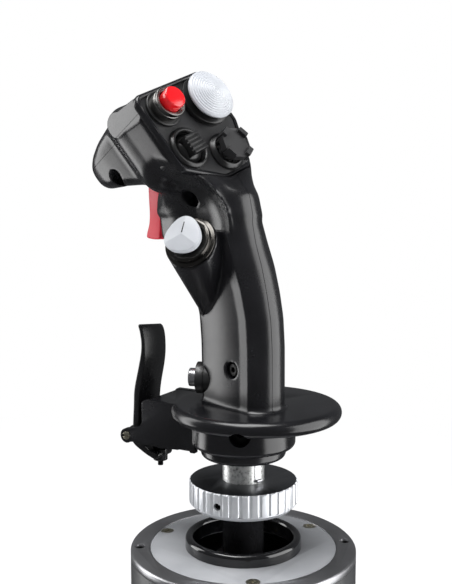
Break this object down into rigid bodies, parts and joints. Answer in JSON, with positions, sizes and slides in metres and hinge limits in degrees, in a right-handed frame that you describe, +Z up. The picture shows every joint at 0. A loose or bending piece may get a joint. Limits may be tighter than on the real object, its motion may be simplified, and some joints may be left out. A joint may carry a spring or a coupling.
{
  "type": "flight joystick",
  "caption": "Desk flight joystick: a twisted grip with hats, buttons, trigger and brake lever on a ring nut, hinged two ways in a round base.",
  "frame": {"origin": "bottom centre of the base, where its feet stand on the table", "axes": "+Z up, +Y forward, away from the pilot, +X to the pilot's right"},
  "size_m": [0.19, 0.1924, 0.3243],
  "materials": {
    "plate_black": "satin powder coat",
    "rubber": "matt",
    "drum_grey": "satin paint",
    "ring_steel": "brushed",
    "cover_grey": "bead blasted",
    "dark_screw": "black oxide",
    "brass_screw": "dull",
    "lip_black": "gloss",
    "gland_black": "matt",
    "cast": "as cast",
    "bush": "turned",
    "board": "solder mask",
    "pin_steel": "ground",
    "spring": "drawn wire",
    "shaft_black": "gloss",
    "galvanised": "mottled zinc",
    "body_black": "satin",
    "rest_black": "satin gloss",
    "lever_black": "gloss",
    "nut_silver": "fluted, machined",
    "collar_steel": "turned",
    "red": "gloss",
    "hat_white": "satin",
    "hat_black": "satin",
    "chrome": "polished",
    "switch_black": "matt",
    "knurl_grey": "knurled"
  },
  "bodies": {
    "base": {"base_plate": "plate_black", "rubber_feet": "rubber", "base_housing": "drum_grey", "base_ring": "ring_steel", "ring_screws": "dark_screw", "top_plate": "cover_grey", "top_plate_screws": "brass_screw", "housing_screws": "dark_screw", "stick_lip": "lip_black", "cable_gland": "gland_black", "gimbal_cradle": "cast", "roll_bushes": "bush", "roll_sensor": "board", "main_board": "board"},
    "tilt_frame": {"gimbal_frame": "cast", "roll_pins": "pin_steel", "pitch_bushes": "bush", "roll_spring": "spring"},
    "stick": {"shaft": "shaft_black", "pitch_pin": "pin_steel", "pitch_spring": "spring", "grip_stem": "galvanised", "stem_key": "pin_steel", "lower_collar": "body_black", "hand_rest": "rest_black", "rest_screw": "dark_screw", "lever_pin": "brass_screw", "lever_spring": "spring", "lever_switch": "switch_black", "grip_shell_left": "body_black", "grip_shell_right": "body_black", "head_hood": "body_black", "face_plate": "body_black", "shell_screws": "dark_screw", "grip_board": "board", "hat_switches": "switch_black", "button_switches": "switch_black", "red_button_collar": "collar_steel", "trim_ring": "hat_black", "thumb_bezel": "hat_black", "castle_cup": "hat_black", "selector_ring": "chrome", "front_button_bezel": "knurl_grey", "trigger_pin": "pin_steel"},
    "nut": {"ring_nut": "nut_silver", "nut_set_screw": "dark_screw"},
    "lever": {"brake_lever": "lever_black", "stop_screw": "dark_screw", "stop_nut": "dark_screw"},
    "trigger": {"trigger": "red"},
    "red_button": {"red_button": "red"},
    "front_button": {"front_button": "pin_steel"},
    "trim_cross": {"trim_cross": "pin_steel"},
    "trim_hat": {"trim_hat": "hat_white"},
    "thumb_cross": {"thumb_cross": "pin_steel"},
    "thumb_hat": {"thumb_hat": "hat_black"},
    "castle_cross": {"castle_cross": "pin_steel"},
    "castle_hat": {"castle_hat": "hat_black"},
    "selector_cross": {"selector_cross": "pin_steel"},
    "selector_cap": {"selector_cap": "hat_white"}
  },
  "joints": [
    {"name": "roll", "type": "hinge", "parent": "base", "child": "tilt_frame", "pos_m": [0, 0, 0.052], "axis": [0, 1, 0], "range_deg": [-17, 17], "stiffness_Nm_per_rad": 6},
    {"name": "pitch", "type": "hinge", "parent": "tilt_frame", "child": "stick", "pos_m": [0, 0, 0.052], "axis": [1, 0, 0], "range_deg": [-17, 17], "stiffness_Nm_per_rad": 6},
    {"name": "ring_nut_turn", "type": "hinge", "parent": "stick", "child": "nut", "pos_m": [0, 0, 0.103], "axis": [0, 0, 1], "continuous": true},
    {"name": "brake_lever_pull", "type": "hinge", "parent": "stick", "child": "lever", "pos_m": [0, 0.0627, 0.1293], "axis": [1, 0, 0], "range_deg": [0, 9], "stiffness_Nm_per_rad": 0.3},
    {"name": "trigger_pull", "type": "hinge", "parent": "stick", "child": "trigger", "pos_m": [0.02103, 0.06316, 0.281], "axis": [-0.9336, 0.3584, 0], "range_deg": [0, 8], "stiffness_Nm_per_rad": 0.3},
    {"name": "red_button_press", "type": "slide", "parent": "stick", "child": "red_button", "axis": [0.3164, 0.8243, -0.4695], "range_m": [0, 0.002], "stiffness_N_per_m": 500},
    {"name": "front_button_press", "type": "slide", "parent": "stick", "child": "front_button", "axis": [0.309, -0.9511, 0], "range_m": [0, 0.002], "stiffness_N_per_m": 500},
    {"name": "trim_hat_rock", "type": "hinge", "parent": "stick", "child": "trim_cross", "pos_m": [0.00541, 0.03032, 0.30604], "axis": [0.9269, -0.1634, 0.3379], "range_deg": [-8, 8], "stiffness_Nm_per_rad": 0.12},
    {"name": "trim_hat_tip", "type": "hinge", "parent": "trim_cross", "child": "trim_hat", "pos_m": [0.00541, 0.03032, 0.30604], "axis": [-0.2018, 0.5421, 0.8157], "range_deg": [-8, 8], "stiffness_Nm_per_rad": 0.12},
    {"name": "thumb_hat_rock", "type": "hinge", "parent": "stick", "child": "thumb_cross", "pos_m": [-0.01746, 0.02498, 0.28125], "axis": [0.9269, -0.1634, 0.3379], "range_deg": [-8, 8], "stiffness_Nm_per_rad": 0.12},
    {"name": "thumb_hat_tip", "type": "hinge", "parent": "thumb_cross", "child": "thumb_hat", "pos_m": [-0.01746, 0.02498, 0.28125], "axis": [-0.2018, 0.5421, 0.8157], "range_deg": [-8, 8], "stiffness_Nm_per_rad": 0.12},
    {"name": "castle_hat_rock", "type": "hinge", "parent": "stick", "child": "castle_cross", "pos_m": [0.00464, 0.01587, 0.28014], "axis": [0.9269, -0.1634, 0.3379], "range_deg": [-8, 8], "stiffness_Nm_per_rad": 0.12},
    {"name": "castle_hat_tip", "type": "hinge", "parent": "castle_cross", "child": "castle_hat", "pos_m": [0.00464, 0.01587, 0.28014], "axis": [-0.2018, 0.5421, 0.8157], "range_deg": [-8, 8], "stiffness_Nm_per_rad": 0.12},
    {"name": "selector_rock", "type": "hinge", "parent": "stick", "child": "selector_cross", "pos_m": [-0.01874, 0.01927, 0.23456], "axis": [-0.4523, -0.0396, -0.891], "range_deg": [-7, 7], "stiffness_Nm_per_rad": 0.12},
    {"name": "selector_tip", "type": "hinge", "parent": "selector_cross", "child": "selector_cap", "pos_m": [-0.01874, 0.01927, 0.23456], "axis": [0.0872, -0.9962, 0], "range_deg": [-7, 7], "stiffness_Nm_per_rad": 0.12}
  ]
}
